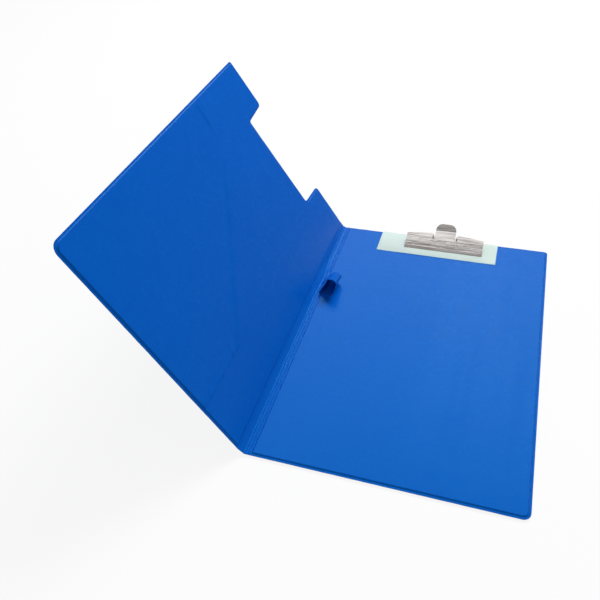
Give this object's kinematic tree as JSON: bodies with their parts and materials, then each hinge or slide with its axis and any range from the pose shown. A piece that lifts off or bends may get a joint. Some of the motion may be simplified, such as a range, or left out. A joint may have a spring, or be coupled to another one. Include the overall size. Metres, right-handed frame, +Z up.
{
  "type": "clipboard folder",
  "caption": "Foldover clipboard: stiff board with a sprung steel clip, pen loop and a same-size hinged cover with a slanted pocket, sealed in blue PVC.",
  "frame": {"origin": "middle of the board's flat back face, on the desk", "axes": "+Z up from the desk, +Y towards the clip, +X from the spine to the board's free edge"},
  "size_m": [0.3578, 0.3454, 0.2033],
  "materials": {
    "blue_pvc": "semi-gloss",
    "greyboard": "matte",
    "pale_card": "matte",
    "nickel_steel": "polished",
    "spring_steel": "satin"
  },
  "bodies": {
    "board": {"board_stiffener": "greyboard", "board_inner_sheet": "blue_pvc", "board_outer_sheet": "blue_pvc", "backing_card": "pale_card", "clip_base_plate": "nickel_steel", "clip_rivets": "nickel_steel", "rivet_washers": "spring_steel", "clip_pivot_pin": "nickel_steel", "clip_spring": "spring_steel", "pen_loop": "blue_pvc"},
    "spine": {"spine_inner_strip": "blue_pvc", "spine_outer_strip": "blue_pvc", "spine_weld_seams": "blue_pvc"},
    "cover": {"cover_stiffener": "greyboard", "cover_inner_sheet": "blue_pvc", "cover_outer_sheet": "blue_pvc", "cover_pocket": "blue_pvc"},
    "jaw": {"clip_jaw": "nickel_steel"}
  },
  "joints": [
    {"name": "spine_fold", "type": "hinge", "parent": "board", "child": "spine", "pos_m": [-0.115, 0, 0.0013], "axis": [0, 1, 0], "range_deg": [-119.45, 60.55]},
    {"name": "cover_fold", "type": "hinge", "parent": "spine", "child": "cover", "pos_m": [-0.12371, 0, 0.00622], "axis": [0, 1, 0], "range_deg": [-119.45, 60.55]},
    {"name": "jaw_pivot", "type": "hinge", "parent": "board", "child": "jaw", "pos_m": [0.002, 0.164, 0.0069], "axis": [-1, 0, 0], "range_deg": [0, 28], "stiffness_Nm_per_rad": 0.3, "springref_deg": -28.65, "deforming": ["clip_spring"]}
  ],
  "couplings": [
    {"joint": "cover_fold", "follows": "spine_fold", "ratio": 1}
  ]
}
